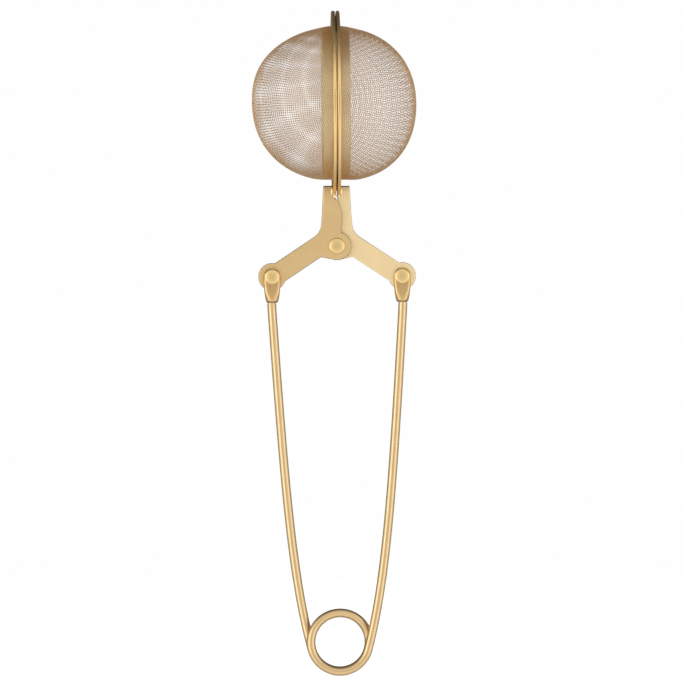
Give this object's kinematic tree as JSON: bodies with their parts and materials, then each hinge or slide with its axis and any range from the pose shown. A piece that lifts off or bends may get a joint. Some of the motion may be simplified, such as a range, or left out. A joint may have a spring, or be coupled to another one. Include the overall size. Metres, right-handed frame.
{
  "type": "tea infuser",
  "caption": "Mesh ball tea infuser with riveted lever jaws, opened by squeezing a looped spring wire handle.",
  "frame": {"origin": "centre of the spring wire's loop, at the end of the handle", "axes": "+Z along the infuser's length, from the spring loop towards the ball; the handle lies in the XZ plane and the ball's two halves part along X; -Y is the side with the left half's lever in front"},
  "size_m": [0.0398, 0.0456, 0.1647],
  "materials": {
    "spring_wire": "champagne gold coating on drawn spring steel wire, satin",
    "lever_plate": "champagne gold coating on stamped steel sheet, satin",
    "ferrule": "champagne gold coating on pressed steel, satin",
    "rivet": "champagne gold coating, polished dome",
    "rim": "champagne gold coating on rolled steel sheet, polished",
    "woven_mesh": "champagne gold coating on woven steel wire mesh"
  },
  "bodies": {
    "spring_coil": {"spring_loop": "spring_wire"},
    "right_arm": {"right_spring_arm": "spring_wire", "right_ferrule": "ferrule", "right_ferrule_rivet": "rivet"},
    "right_jaw": {"right_lever": "lever_plate", "centre_rivet": "rivet", "right_rim": "rim", "right_collar": "rim", "right_mesh_bowl": "woven_mesh"},
    "left_jaw": {"left_lever": "lever_plate", "left_rim": "rim", "left_collar": "rim", "left_mesh_bowl": "woven_mesh"},
    "left_arm": {"left_spring_arm": "spring_wire", "left_ferrule": "ferrule", "left_ferrule_rivet": "rivet"}
  },
  "joints": [
    {"name": "right_arm_bend", "type": "hinge", "parent": "spring_coil", "child": "right_arm", "pos_m": [0.00695, 0, -0.00189], "axis": [0, -1, 0], "range_deg": [0, 3.67]},
    {"name": "right_ferrule_pivot", "type": "hinge", "parent": "right_arm", "child": "right_jaw", "pos_m": [0.01614, 0, 0.0906], "axis": [0, -1, 0], "range_deg": [-33.67, 0]},
    {"name": "jaw_hinge", "type": "hinge", "parent": "right_jaw", "child": "left_jaw", "pos_m": [0, 0, 0.09815], "axis": [0, -1, 0], "range_deg": [0, 60], "stiffness_Nm_per_rad": 0.15, "springref_deg": -28.65},
    {"name": "left_ferrule_pivot", "type": "hinge", "parent": "left_jaw", "child": "left_arm", "pos_m": [-0.01614, 0, 0.0906], "axis": [0, -1, 0], "range_deg": [-33.67, 0]}
  ],
  "couplings": [
    {"joint": "right_arm_bend", "follows": "jaw_hinge", "ratio": 0.06115},
    {"joint": "right_ferrule_pivot", "follows": "jaw_hinge", "ratio": -0.56115},
    {"joint": "left_ferrule_pivot", "follows": "jaw_hinge", "ratio": -0.56115}
  ]
}
